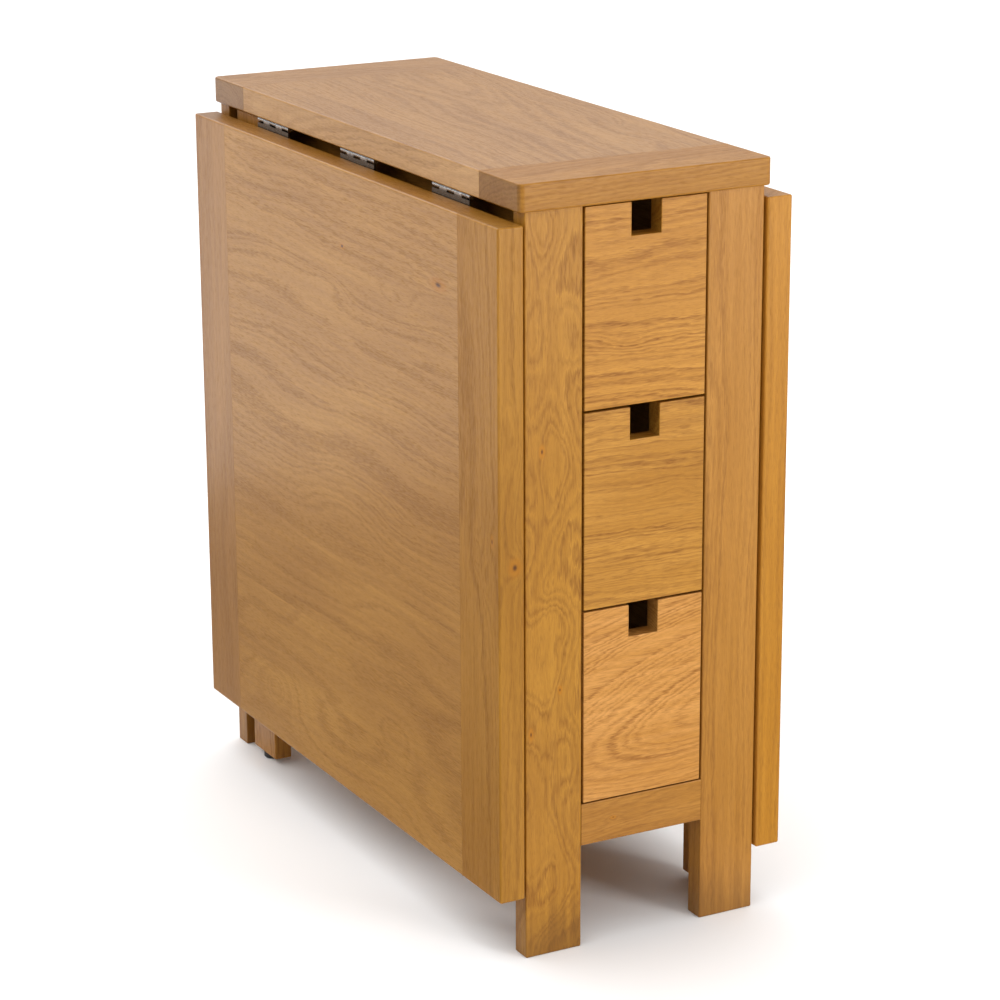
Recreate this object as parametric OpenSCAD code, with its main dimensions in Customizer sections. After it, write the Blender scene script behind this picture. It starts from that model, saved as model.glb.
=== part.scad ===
// Gateleg table with two drop leaves, three stacked drawers and two folding gates.
// The floor is z = 0, the drawers open towards -Y and the leaves hang at -X and +X.
// The origin is on the floor, below the middle of the top.
// Each gate is folded against the case. Once its leaf is up, it turns about gate_x, pivot_y.

/* [Top] */
// Height of the upper face above the floor
table_height = 760; // [630:1:915]
// Length of the top and of both leaves, along Y
top_length = 685; // [560:1:900]
// Width of the fixed centre slab, along X
top_width = 270; // [222:1:360]
// Thickness of the slab and of both leaves
top_thickness = 27; // [20:1:34]
// Width of the cross boards at both ends of the slab and the leaves
end_board_width = 78; // [60:1:98]
// Thickness of the tongues that hold the cross boards
tongue_thickness = 9; // [6:0.5:12]
// Length of those tongues
tongue_length = 14; // [8:1:24]
// Distance of the tongues from the long edges
tongue_inset = 22; // [10:1:40]
// Radius of the slab's upright corners
corner_radius = 6; // [2:0.5:12]

/* [Leaves] */
// Height of a hanging leaf's lower edge above the floor
leaf_floor_gap = 64; // [20:1:160]
// Gap between the slab and a raised leaf
leaf_gap = 1; // [0.5:0.1:2]

/* [Hinges] */
// Length of a hinge along its pin
hinge_length = 76; // [60:1:90]
// Outer radius of the knuckles
knuckle_radius = 3; // [2.6:0.1:4]
// Radius of the hinge pin
hinge_pin_radius = 1.5; // [1:0.1:1.8]
// Radial running clearance of the hinge pin
hinge_pin_clearance = 0.05; // [0.02:0.01:0.1]
// Thickness of the flaps
flap_thickness = 2; // [1.5:0.1:2.5]
// Gap between a flap's plate and the other flap's knuckles
flap_relief = 0.6; // [0.4:0.1:1.2]
// Gap between neighbouring knuckles
knuckle_gap = 0.4; // [0.2:0.1:0.8]
// Gap between a leaf's flaps and the legs
flap_leg_gap = 0.5; // [0.3:0.1:2]
// Gap between a slab flap and the upper side rail
flap_rail_gap = 1.5; // [0.5:0.1:4]
// Gap along Y between an end hinge and the gate's free leg
hinge_gate_gap = 3; // [1:0.5:20]
// Radius of a hinge screw's head
screw_head_radius = 3; // [2.4:0.1:3.4]
// Radius of a hinge screw's shank
screw_shank_radius = 1.75; // [1.2:0.05:2]
// Length of a hinge screw's shank in the wood
screw_length = 14; // [8:1:17]
// Distance between neighbouring screws in a flap
screw_pitch = 25; // [18:1:27]

/* [Legs] */
// Width of a fixed leg, along X
leg_width = 61; // [50:0.5:74]
// Thickness of a fixed leg, along Y
leg_thickness = 22; // [18:0.5:30]
// Overhang of the slab past the legs, at the leaves
side_overhang = 6.5; // [5:0.5:20]
// Overhang of the slab past the legs, at the ends
end_overhang = 3; // [0:0.5:30]

/* [Case] */
// Height of the lowest rails above the floor
case_floor_gap = 105; // [60:1:160]
// Height of the upper and lower rails
rail_height = 43; // [34:1:56]
// Thickness of the case sides
side_panel_thickness = 12; // [9:0.5:16]
// Thickness of the board under the drawers
floor_thickness = 12; // [6:0.5:18]
// Thickness of the panel at the back end
back_panel_thickness = 12; // [6:0.5:14]
// Depth of the grooves that hold the back panel
back_panel_groove = 6; // [3:0.5:10]
// Thickness of the rails' tenons
tenon_thickness = 8; // [5:0.5:10]
// Length of the long rails' and the gate rails' tenons
tenon_length = 14; // [8:0.5:16]
// Wood left in a leg between the tenons of its two rails
tenon_web = 2; // [1:0.5:4]
// Shoulder above and below a tenon
tenon_shoulder = 6; // [3:0.5:10]

/* [Gates] */
// Thickness of both gates
gate_thickness = 20; // [16:0.5:25]
// Gap between a folded gate and the side rails
gate_gap = 7; // [4:0.5:12]
// Width of the pivot stile and the free leg
gate_stile_width = 56; // [40:1:70]
// Height of the gate's two cross rails
gate_rail_height = 56; // [36:1:80]
// Gap between the free leg and the fixed leg next to it
free_leg_gap = 20.5; // [6:0.5:60]
// Gap between the free leg's top and a raised leaf
free_leg_top_gap = 2; // [0.5:0.5:6]
// Height of the black glide under the free leg
glide_height = 6.5; // [4:0.5:12]
// Radius of the glide
glide_radius = 10; // [6:0.5:14]
// Radius of the glide's stem
glide_stem_radius = 3; // [2:0.5:5]
// Length of the glide's stem in the free leg
glide_stem_length = 16; // [8:1:30]
// Radius of the pivot pins
pivot_radius = 4; // [3:0.5:6]
// Radial running clearance of the pivot pins in the gate
pivot_clearance = 0.05; // [0.02:0.01:0.1]
// Length of a pivot pin in the gate
pivot_reach = 20; // [12:1:30]
// Distance of the pivot from the gate's end
pivot_edge = 10; // [8:0.5:20]
// Least gap between the turning gate and the fixed leg
pivot_swing_gap = 3.5; // [1:0.5:10]
// Gap between the gate and its pivot blocks
pivot_end_gap = 1.5; // [0.5:0.5:3]
// Height of a pivot block
pivot_block_height = 25; // [15:1:34]
// How far a pivot block stays behind the legs' outer face
pivot_block_inset = 1; // [0:0.5:3]

/* [Drawers] */
// Thickness of a drawer front
front_thickness = 20; // [14:0.5:26]
// Gap between neighbouring drawer fronts
front_gap = 2; // [1:0.5:4]
// Gap at each side of a drawer
drawer_side_gap = 2; // [0.5:0.5:3]
// Width of the finger notch
notch_width = 32; // [24:1:50]
// Depth of the finger notch
notch_depth = 32; // [20:1:50]
// Thickness of the drawer sides and back
box_thickness = 10; // [6:0.5:14]
// Depth of the housings that hold the sides in the front
housing_depth = 6; // [3:0.5:10]
// Thickness of the drawer base
base_thickness = 5; // [3:0.5:8]
// Depth of the base's grooves
base_groove = 5; // [2:0.5:7]
// Height of the base above the sides' lower edges
base_lift = 8; // [4:0.5:20]
// Space behind the drawers
drawer_back_space = 157; // [60:1:220]
// Height of a drawer runner
runner_height = 11; // [6:0.5:20]
// Width of a drawer runner
runner_width = 12; // [8:0.5:20]
// Gap between a drawer front and its runners
runner_front_gap = 2; // [0.5:0.5:10]
// Sliding clearance above a runner
runner_clearance = 0.5; // [0.2:0.1:1]
// Gap above the drawer sides
drawer_top_gap = 3; // [1:0.5:10]
// Length of the stop block behind each drawer side
stop_length = 20; // [10:1:40]
// Height of the stop block
stop_height = 25; // [10:1:40]
// Gap between a closed drawer and its stop blocks
stop_gap = 0.5; // [0.2:0.1:2]

/* [Hidden] */
$fn = 64;
EPS = 0.01;
LEFT = -1;
RIGHT = 1;
FRONT = -1;
BACK = 1;
LOWER = 0;
MIDDLE = 1;
UPPER = 2;
drawer_count = 3;
knuckle_count = 5;
screws_per_flap = 3;

OAK = "#c8924f";
PALE_OAK = "#d6a564";
PLY = "#d8b78a";
STEEL = "#c9cbcc";
BLACK = "#1c1c1c";

// Slab
half_width = top_width / 2;
half_length = top_length / 2;
underside_z = table_height - top_thickness;
board_joint_y = half_length - end_board_width;

// Fixed legs
leg_outer_x = half_width - side_overhang;
leg_inner_x = leg_outer_x - leg_width;
leg_outer_y = half_length - end_overhang;
leg_inner_y = leg_outer_y - leg_thickness;

// Hinge axis, and the leaf that hangs from it
pin_x = leg_outer_x + flap_leg_gap + flap_thickness - knuckle_radius;
pin_z = underside_z - knuckle_radius;
leaf_inner_x = pin_x + knuckle_radius;
leaf_outer_x = leaf_inner_x + top_thickness;
leaf_top_z = pin_z - (half_width - pin_x) - leaf_gap;

// Case
side_panel_outer_x = leg_inner_x + side_panel_thickness;
side_rail_outer_x = leg_outer_x - gate_thickness - gate_gap;
lower_rail_top_z = case_floor_gap + rail_height;
upper_rail_z = underside_z - rail_height;

// Gates: the left one, with its pivot at the front
gate_x = leg_outer_x - gate_thickness / 2;
pivot_corner = norm([gate_thickness / 2, pivot_edge]);
pivot_y = leg_inner_y - pivot_swing_gap - pivot_corner;
gate_front_y = -pivot_y - pivot_edge;
gate_back_y = leg_inner_y - free_leg_gap;
stile_inner_y = gate_front_y + gate_stile_width;
free_leg_inner_y = gate_back_y - gate_stile_width;
gate_low_z = lower_rail_top_z + pivot_end_gap;
gate_high_z = upper_rail_z - pivot_end_gap;

// Hinges
hinge_y = free_leg_inner_y - hinge_gate_gap - hinge_length / 2;
HINGE_PLACES = [-hinge_y, 0, hinge_y];
flap_width = pin_x - side_rail_outer_x - flap_rail_gap;
plate_start = knuckle_radius + flap_relief;
screw_line = (plate_start + flap_width) / 2;
knuckle_pitch = hinge_length / knuckle_count;

// Drawers
cell_height = (underside_z - lower_rail_top_z) / drawer_count;
drawer_half_width = leg_inner_x - drawer_side_gap;
front_inner_y = -leg_outer_y + front_thickness;
box_back_y = leg_inner_y - drawer_back_space;
box_inner_x = drawer_half_width - box_thickness;

// Helpers

// A block between its lowest and its highest corner
module block(low, high) {
    translate(low) cube(high - low);
}

// Puts a shape that is drawn at +X on the given side
module on_side(side) {
    if (side == LEFT) mirror([1, 0, 0]) children();
    else children();
}

// Puts a shape that is drawn at +Y at the given end
module at_end(end) {
    if (end == FRONT) mirror([0, 1, 0]) children();
    else children();
}

// Puts a shape that is drawn for the left gate on the given side
module on_gate(side) {
    if (side == RIGHT) rotate([0, 0, 180]) children();
    else children();
}

// An upright cylinder between two heights
module upright(x, y, low, high, radius) {
    translate([x, y, low]) cylinder(h = high - low, r = radius);
}

// A cylinder along Y between two places
module rod(x, z, low, high, radius) {
    translate([x, low, z]) rotate([-90, 0, 0]) cylinder(h = high - low, r = radius);
}

// Top

// The tongue at the back end of the slab's centre board
module slab_tongue() {
    middle = underside_z + top_thickness / 2;
    block([-half_width + tongue_inset, board_joint_y - EPS, middle - tongue_thickness / 2],
          [half_width - tongue_inset, board_joint_y + tongue_length, middle + tongue_thickness / 2]);
}

// The slab's centre board, its grain along Y
module top_center_board() {
    color(OAK) {
        block([-half_width, -board_joint_y, underside_z], [half_width, board_joint_y, table_height]);
        for (end = [FRONT, BACK]) at_end(end) slab_tongue();
    }
}

// A cross board of the slab, with rounded upright corners
module top_end_board(end) {
    corner_x = half_width - corner_radius;
    corner_y = half_length - corner_radius;
    color(OAK) at_end(end) difference() {
        union() {
            block([-half_width, board_joint_y, underside_z], [half_width, corner_y, table_height]);
            block([-corner_x, corner_y - EPS, underside_z], [corner_x, half_length, table_height]);
            for (x = [-corner_x, corner_x])
                upright(x, corner_y, underside_z, table_height, corner_radius);
        }
        slab_tongue();
    }
}

// Fixed legs and case

// A leg with the mortises and grooves of all that it holds
module leg(side, end) {
    color(OAK) difference() {
        on_side(side) at_end(end)
            block([leg_inner_x, leg_inner_y, 0], [leg_outer_x, leg_outer_y, underside_z]);
        side_rail(side, case_floor_gap);
        side_rail(side, upper_rail_z);
        cross_rail(end, case_floor_gap);
        if (end == BACK) {
            cross_rail(end, upper_rail_z);
            back_panel();
        }
    }
}

// A rail between the legs of one side, tenoned into both
module side_rail(side, low_z) {
    high_z = low_z + rail_height;
    middle_x = (side_panel_outer_x + side_rail_outer_x) / 2;
    color(OAK) on_side(side) {
        block([side_panel_outer_x, -leg_inner_y, low_z], [side_rail_outer_x, leg_inner_y, high_z]);
        block([middle_x - tenon_thickness / 2, -leg_inner_y - tenon_length, low_z + tenon_shoulder],
              [middle_x + tenon_thickness / 2, leg_inner_y + tenon_length, high_z - tenon_shoulder]);
    }
}

// A rail between the two legs of one end, tenoned into both
module cross_rail(end, low_z) {
    high_z = low_z + rail_height;
    middle_y = (leg_inner_y + leg_outer_y) / 2;
    tenon_x = side_panel_outer_x - tenon_web;
    color(OAK) at_end(end) {
        block([-leg_inner_x, leg_inner_y, low_z], [leg_inner_x, leg_outer_y, high_z]);
        block([-tenon_x, middle_y - tenon_thickness / 2, low_z + tenon_shoulder],
              [tenon_x, middle_y + tenon_thickness / 2, high_z - tenon_shoulder]);
    }
}

// A rail at the back end, grooved for the panel
module back_rail(low_z) {
    color(OAK) difference() {
        cross_rail(BACK, low_z);
        back_panel();
    }
}

// The panel at the back end, held in grooves all round
module back_panel() {
    middle_y = (leg_inner_y + leg_outer_y) / 2;
    color(PALE_OAK)
        block([-leg_inner_x - back_panel_groove, middle_y - back_panel_thickness / 2,
               lower_rail_top_z - back_panel_groove],
              [leg_inner_x + back_panel_groove, middle_y + back_panel_thickness / 2,
               upper_rail_z + back_panel_groove]);
}

// A case side, which the drawers run between
module case_side(side) {
    color(OAK) on_side(side)
        block([leg_inner_x, -leg_inner_y, case_floor_gap], [side_panel_outer_x, leg_inner_y, underside_z]);
}

// The board under the lowest drawer
module case_floor() {
    color(PLY)
        block([-leg_inner_x, -leg_inner_y, lower_rail_top_z - floor_thickness],
              [leg_inner_x, leg_inner_y, lower_rail_top_z]);
}

// The runners, glued to the case sides
module drawer_runners() {
    color(PALE_OAK) for (side = [LEFT, RIGHT], level = [LOWER:UPPER])
        on_side(side)
            block([leg_inner_x - runner_width, front_inner_y + runner_front_gap, cell_z(level)],
                  [leg_inner_x, leg_inner_y, cell_z(level) + runner_height]);
}

// The blocks on the runners that stop each drawer flush with the legs
module drawer_stops() {
    low_y = box_back_y + stop_gap;
    color(PALE_OAK) for (side = [LEFT, RIGHT], level = [LOWER:UPPER])
        on_side(side)
            block([leg_inner_x - runner_width, low_y, cell_z(level) + runner_height],
                  [leg_inner_x, low_y + stop_length, cell_z(level) + runner_height + stop_height]);
}

// Gates

// The two pins of one gate, which its blocks hold
module pivot_pins(side) {
    on_gate(side) {
        upright(-gate_x, -pivot_y, lower_rail_top_z - pivot_block_height, gate_low_z + pivot_reach,
                pivot_radius);
        upright(-gate_x, -pivot_y, gate_high_z - pivot_reach, upper_rail_z + pivot_block_height,
                pivot_radius);
    }
}

// The pins of both gates
module gate_pivot_pins() {
    color(STEEL) for (side = [LEFT, RIGHT]) pivot_pins(side);
}

// The blocks above and below each gate's pivot stile
module gate_pivot_blocks() {
    block_inner_y = 2 * pivot_y - leg_inner_y;
    color(OAK) for (side = [LEFT, RIGHT], low_z = [lower_rail_top_z - pivot_block_height, upper_rail_z])
        difference() {
            on_gate(side)
                block([-leg_outer_x + pivot_block_inset, -leg_inner_y, low_z],
                      [-side_rail_outer_x, -block_inner_y, low_z + pivot_block_height]);
            on_gate(side)
                upright(-gate_x, -pivot_y, low_z - 1, low_z + pivot_block_height + 1, pivot_radius);
        }
}

// A gate's cross rail, tenoned into its stile and its free leg
module gate_rail(side, low_z) {
    high_z = low_z + gate_rail_height;
    color(OAK) on_gate(side) {
        block([-leg_outer_x, stile_inner_y, low_z], [-leg_outer_x + gate_thickness, free_leg_inner_y, high_z]);
        block([-gate_x - tenon_thickness / 2, stile_inner_y - tenon_length, low_z + tenon_shoulder],
              [-gate_x + tenon_thickness / 2, free_leg_inner_y + tenon_length, high_z - tenon_shoulder]);
    }
}

module gate_upper_rail(side) {
    gate_rail(side, gate_high_z - gate_rail_height);
}

module gate_lower_rail(side) {
    gate_rail(side, gate_low_z);
}

// The stile that turns on the pivot pins
module gate_stile(side) {
    bore_reach = pivot_reach + 2;
    color(OAK) difference() {
        on_gate(side)
            block([-leg_outer_x, gate_front_y, gate_low_z],
                  [-leg_outer_x + gate_thickness, stile_inner_y, gate_high_z]);
        gate_upper_rail(side);
        gate_lower_rail(side);
        on_gate(side) {
            upright(-gate_x, -pivot_y, gate_low_z - 1, gate_low_z + bore_reach,
                    pivot_radius + pivot_clearance);
            upright(-gate_x, -pivot_y, gate_high_z - bore_reach, gate_high_z + 1,
                    pivot_radius + pivot_clearance);
        }
    }
}

// The leg at the gate's free end, which carries a raised leaf
module gate_free_leg(side) {
    color(OAK) difference() {
        on_gate(side)
            block([-leg_outer_x, free_leg_inner_y, glide_height],
                  [-leg_outer_x + gate_thickness, gate_back_y, underside_z - free_leg_top_gap]);
        gate_upper_rail(side);
        gate_lower_rail(side);
        gate_glide(side);
    }
}

// The round glide under a free leg, with its stem
module gate_glide(side) {
    edge = 1.5;
    color(BLACK) on_gate(side) translate([-gate_x, gate_back_y - gate_stile_width / 2, 0])
        rotate_extrude()
            polygon([[0, 0], [glide_radius - edge, 0], [glide_radius, edge],
                     [glide_radius, glide_height], [glide_stem_radius, glide_height],
                     [glide_stem_radius, glide_height + glide_stem_length],
                     [0, glide_height + glide_stem_length]]);
}

// Hinges

// The knuckles of one flap, at every second place from the first
module knuckles(first) {
    for (i = [first:2:knuckle_count - 1]) {
        low_y = -hinge_length / 2 + i * knuckle_pitch + knuckle_gap / 2;
        rod(0, 0, low_y, low_y + knuckle_pitch - knuckle_gap, knuckle_radius);
        translate([0, low_y, -knuckle_radius])
            translate([-plate_start - EPS, 0, 0])
                cube([plate_start + EPS, knuckle_pitch - knuckle_gap, flap_thickness]);
    }
}

// A flap about its pin at the origin: the plate lies at -X, at the knuckles' lower side
module flap(first) {
    difference() {
        union() {
            block([-flap_width, -hinge_length / 2, -knuckle_radius],
                  [-plate_start, hinge_length / 2, flap_thickness - knuckle_radius]);
            knuckles(first);
        }
        rod(0, 0, -hinge_length / 2 - 1, hinge_length / 2 + 1, hinge_pin_radius + hinge_pin_clearance);
        for (i = [0:screws_per_flap - 1])
            upright(-screw_line, screw_y(i), -knuckle_radius - 1, flap_thickness - knuckle_radius + 1,
                    screw_head_radius);
    }
}

// The screws of one flap, their shanks pointing away from the pin's side
module flap_screws() {
    for (i = [0:screws_per_flap - 1]) {
        upright(-screw_line, screw_y(i), -knuckle_radius, flap_thickness - knuckle_radius,
                screw_head_radius);
        upright(-screw_line, screw_y(i), -knuckle_radius - screw_length, -knuckle_radius + EPS,
                screw_shank_radius);
    }
}

// Puts a flap's shape against the slab's underside, on the given side
module under_slab(side) {
    on_side(side) for (y = HINGE_PLACES)
        translate([pin_x, y, pin_z]) mirror([0, 0, 1]) children();
}

// Puts a flap's shape against a hanging leaf's inner face
module on_leaf(side) {
    on_side(side) for (y = HINGE_PLACES)
        translate([pin_x, y, pin_z]) rotate([0, -90, 0]) children();
}

// The flaps that are screwed to the slab
module slab_flaps(side) {
    color(STEEL) under_slab(side) flap(0);
}

module slab_hinge_screws() {
    color(STEEL) for (side = [LEFT, RIGHT]) under_slab(side) flap_screws();
}

// The flaps that are screwed to a leaf
module leaf_flaps(side) {
    color(STEEL) on_leaf(side) flap(1);
}

module leaf_screws(side) {
    color(STEEL) on_leaf(side) flap_screws();
}

module leaf_hinge_pins(side) {
    color(STEEL) on_side(side) for (y = HINGE_PLACES)
        rod(pin_x, pin_z, y - hinge_length / 2, y + hinge_length / 2, hinge_pin_radius);
}

// Leaves, hanging

// The tongue at the back end of a leaf's centre board
module leaf_tongue() {
    middle = leaf_inner_x + top_thickness / 2;
    block([middle - tongue_thickness / 2, board_joint_y - EPS, leaf_floor_gap + tongue_inset],
          [middle + tongue_thickness / 2, board_joint_y + tongue_length, leaf_top_z - tongue_inset]);
}

// A leaf's centre board, its grain along Y
module leaf_center_board(side) {
    color(OAK) on_side(side) {
        block([leaf_inner_x, -board_joint_y, leaf_floor_gap], [leaf_outer_x, board_joint_y, leaf_top_z]);
        for (end = [FRONT, BACK]) at_end(end) leaf_tongue();
    }
}

// A leaf's cross board, its grain upright while the leaf hangs
module leaf_end_board(side, end) {
    color(OAK) on_side(side) at_end(end) difference() {
        block([leaf_inner_x, board_joint_y, leaf_floor_gap], [leaf_outer_x, half_length, leaf_top_z]);
        leaf_tongue();
    }
}

// Drawers

// The front, with its finger notch and the housings for the sides and the base
module drawer_front(level) {
    low_z = cell_z(level) + front_gap / 2;
    high_z = cell_z(level + 1) - front_gap / 2;
    color(PALE_OAK) difference() {
        block([-drawer_half_width, -leg_outer_y, low_z], [drawer_half_width, front_inner_y, high_z]);
        block([-notch_width / 2, -leg_outer_y - 1, high_z - notch_depth],
              [notch_width / 2, front_inner_y + 1, high_z + 1]);
        drawer_sides(level);
        drawer_base(level);
    }
}

// Both sides, grooved for the base
module drawer_sides(level) {
    color(PLY) difference() {
        for (side = [LEFT, RIGHT]) on_side(side)
            block([box_inner_x, front_inner_y - housing_depth, box_low_z(level)],
                  [drawer_half_width, box_back_y, box_high_z(level)]);
        drawer_base(level);
    }
}

module drawer_back(level) {
    color(PLY)
        block([-box_inner_x, box_back_y - box_thickness, box_low_z(level) + base_lift + base_thickness],
              [box_inner_x, box_back_y, box_high_z(level)]);
}

// The base, held in the front's and the sides' grooves
module drawer_base(level) {
    color(PLY)
        block([-box_inner_x - base_groove, front_inner_y - base_groove, box_low_z(level) + base_lift],
              [box_inner_x + base_groove, box_back_y, box_low_z(level) + base_lift + base_thickness]);
}

// Heights of a drawer's cell and box, counted from the lowest drawer, and places of screws
function cell_z(level) = lower_rail_top_z + level * cell_height;
function box_low_z(level) = cell_z(level) + runner_height + runner_clearance;
function box_high_z(level) = cell_z(level + 1) - drawer_top_gap;
function screw_y(i) = (i - (screws_per_flap - 1) / 2) * screw_pitch;

top_center_board();
top_end_board(FRONT);  // top_front_board
top_end_board(BACK);  // top_back_board
leg(LEFT, FRONT);  // leg_front_left
leg(RIGHT, FRONT);  // leg_front_right
leg(LEFT, BACK);  // leg_back_left
leg(RIGHT, BACK);  // leg_back_right
cross_rail(FRONT, case_floor_gap);  // front_rail
back_rail(case_floor_gap);  // back_lower_rail
back_rail(upper_rail_z);  // back_upper_rail
back_panel();
case_side(LEFT);  // case_side_left
case_side(RIGHT);  // case_side_right
case_floor();
side_rail(LEFT, case_floor_gap);  // lower_rail_left
side_rail(RIGHT, case_floor_gap);  // lower_rail_right
side_rail(LEFT, upper_rail_z);  // upper_rail_left
side_rail(RIGHT, upper_rail_z);  // upper_rail_right
drawer_runners();
drawer_stops();
gate_pivot_blocks();
gate_pivot_pins();
gate_stile(LEFT);  // gate_left_stile
gate_free_leg(LEFT);  // gate_left_free_leg
gate_upper_rail(LEFT);  // gate_left_upper_rail
gate_lower_rail(LEFT);  // gate_left_lower_rail
gate_glide(LEFT);  // gate_left_glide
gate_stile(RIGHT);  // gate_right_stile
gate_free_leg(RIGHT);  // gate_right_free_leg
gate_upper_rail(RIGHT);  // gate_right_upper_rail
gate_lower_rail(RIGHT);  // gate_right_lower_rail
gate_glide(RIGHT);  // gate_right_glide
slab_flaps(LEFT);  // slab_flaps_left
slab_flaps(RIGHT);  // slab_flaps_right
slab_hinge_screws();
leaf_center_board(LEFT);  // leaf_left_center_board
leaf_end_board(LEFT, FRONT);  // leaf_left_front_board
leaf_end_board(LEFT, BACK);  // leaf_left_back_board
leaf_flaps(LEFT);  // leaf_left_flaps
leaf_hinge_pins(LEFT);  // leaf_left_hinge_pins
leaf_screws(LEFT);  // leaf_left_screws
leaf_center_board(RIGHT);  // leaf_right_center_board
leaf_end_board(RIGHT, FRONT);  // leaf_right_front_board
leaf_end_board(RIGHT, BACK);  // leaf_right_back_board
leaf_flaps(RIGHT);  // leaf_right_flaps
leaf_hinge_pins(RIGHT);  // leaf_right_hinge_pins
leaf_screws(RIGHT);  // leaf_right_screws
drawer_front(UPPER);  // upper_drawer_front
drawer_sides(UPPER);  // upper_drawer_sides
drawer_back(UPPER);  // upper_drawer_back
drawer_base(UPPER);  // upper_drawer_base
drawer_front(MIDDLE);  // middle_drawer_front
drawer_sides(MIDDLE);  // middle_drawer_sides
drawer_back(MIDDLE);  // middle_drawer_back
drawer_base(MIDDLE);  // middle_drawer_base
drawer_front(LOWER);  // lower_drawer_front
drawer_sides(LOWER);  // lower_drawer_sides
drawer_back(LOWER);  // lower_drawer_back
drawer_base(LOWER);  // lower_drawer_base
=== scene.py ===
"""Dresses the gateleg table: lacquered oak boards, zinc-plated hinges, black glides and plain drawer boxes."""

import logging
import math
from collections import defaultdict
from collections.abc import Mapping, Sequence
from dataclasses import dataclass, replace
from enum import Enum
from typing import Any, Union

import bpy
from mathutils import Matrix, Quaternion, Vector


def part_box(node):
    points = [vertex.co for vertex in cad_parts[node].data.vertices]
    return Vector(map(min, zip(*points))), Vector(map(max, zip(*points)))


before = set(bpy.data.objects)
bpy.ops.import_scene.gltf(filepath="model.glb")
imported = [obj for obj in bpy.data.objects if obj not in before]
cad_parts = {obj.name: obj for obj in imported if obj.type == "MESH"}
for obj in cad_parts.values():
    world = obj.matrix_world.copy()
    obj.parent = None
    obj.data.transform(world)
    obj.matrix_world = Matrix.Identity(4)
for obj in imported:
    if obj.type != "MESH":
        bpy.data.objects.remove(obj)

LOG = logging.getLogger("gateleg_table")

MM = 0.001
"""Metres in a millimetre."""

Triple = tuple[float, float, float]
Term = Union["Signal", float, Triple]

MIX_FACTOR, MIX_FIRST, MIX_SECOND = 0, 6, 7
"""Places of the colour inputs on a Mix node."""
MIX_RESULT = 2
"""Place of its colour output."""


class Grain(Enum):
    """The way a board's fibres run, as the order of its axes: along, across and inward."""

    ALONG_X_FACE_Y = ("X", "Z", "Y")
    ALONG_X_FACE_Z = ("X", "Y", "Z")
    ALONG_Y_FACE_X = ("Y", "Z", "X")
    ALONG_Y_FACE_Z = ("Y", "X", "Z")
    UPRIGHT_FACE_X = ("Z", "Y", "X")
    UPRIGHT_FACE_Y = ("Z", "X", "Y")


class Side(Enum):
    """The left or the right of the table, seen from the drawers."""

    LEFT = "left"
    RIGHT = "right"

    @property
    def sign(self) -> int:
        """Sign of X on this side."""
        return -1 if self is Side.LEFT else 1


class Signal:
    """A shader socket that takes part in Python expressions."""

    def __init__(self, graph: "Graph", socket: bpy.types.NodeSocket | None) -> None:
        """Wraps a socket.

        Args:
            graph: The graph that the socket's node is in.
            socket: An output socket, or None for a node that ends its tree.
        """
        self.graph = graph
        self.socket = socket

    def __add__(self, other: Term) -> "Signal":
        """Sum."""
        return self.graph.join("ADD", self, other)

    def __radd__(self, other: Term) -> "Signal":
        """Sum, from the right."""
        return self.graph.join("ADD", other, self)

    def __sub__(self, other: Term) -> "Signal":
        """Difference."""
        return self.graph.join("SUBTRACT", self, other)

    def __rsub__(self, other: Term) -> "Signal":
        """Difference, from the right."""
        return self.graph.join("SUBTRACT", other, self)

    def __mul__(self, other: Term) -> "Signal":
        """Product."""
        return self.graph.join("MULTIPLY", self, other)

    def __rmul__(self, other: Term) -> "Signal":
        """Product, from the right."""
        return self.graph.join("MULTIPLY", other, self)

    def __truediv__(self, other: Term) -> "Signal":
        """Quotient."""
        return self.graph.join("DIVIDE", self, other)

    def __rtruediv__(self, other: Term) -> "Signal":
        """Quotient, from the right."""
        return self.graph.join("DIVIDE", other, self)

    def __pow__(self, other: Term) -> "Signal":
        """Power."""
        return self.graph.join("POWER", self, other)

    def floor(self) -> "Signal":
        """The whole number below."""
        return self.graph.join("FLOOR", self)

    def fraction(self) -> "Signal":
        """What is over the whole number below."""
        return self.graph.join("FRACT", self)

    def root(self) -> "Signal":
        """Square root."""
        return self.graph.join("SQRT", self)

    def size(self) -> "Signal":
        """Without its sign."""
        return self.graph.join("ABSOLUTE", self)

    def length(self) -> "Signal":
        """Length of a vector."""
        settings = {"operation": "LENGTH"}
        return self.graph.node("ShaderNodeVectorMath", settings, {0: self}, "Value")

    def ramp(self, low: float, high: float, smooth: bool = True) -> "Signal":
        """Rises from 0 at low to 1 at high, or falls if high is the lower.

        Args:
            low: The value that gives 0.
            high: The value that gives 1.
            smooth: Whether the ends are eased.

        Returns:
            A value from 0 to 1.
        """
        if low > high:
            return 1.0 - self.ramp(high, low, smooth)
        settings = {"interpolation_type": "SMOOTHSTEP" if smooth else "LINEAR", "clamp": True}
        inputs = {"Value": self, "From Min": low, "From Max": high}
        return self.graph.node("ShaderNodeMapRange", settings, inputs)


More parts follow.
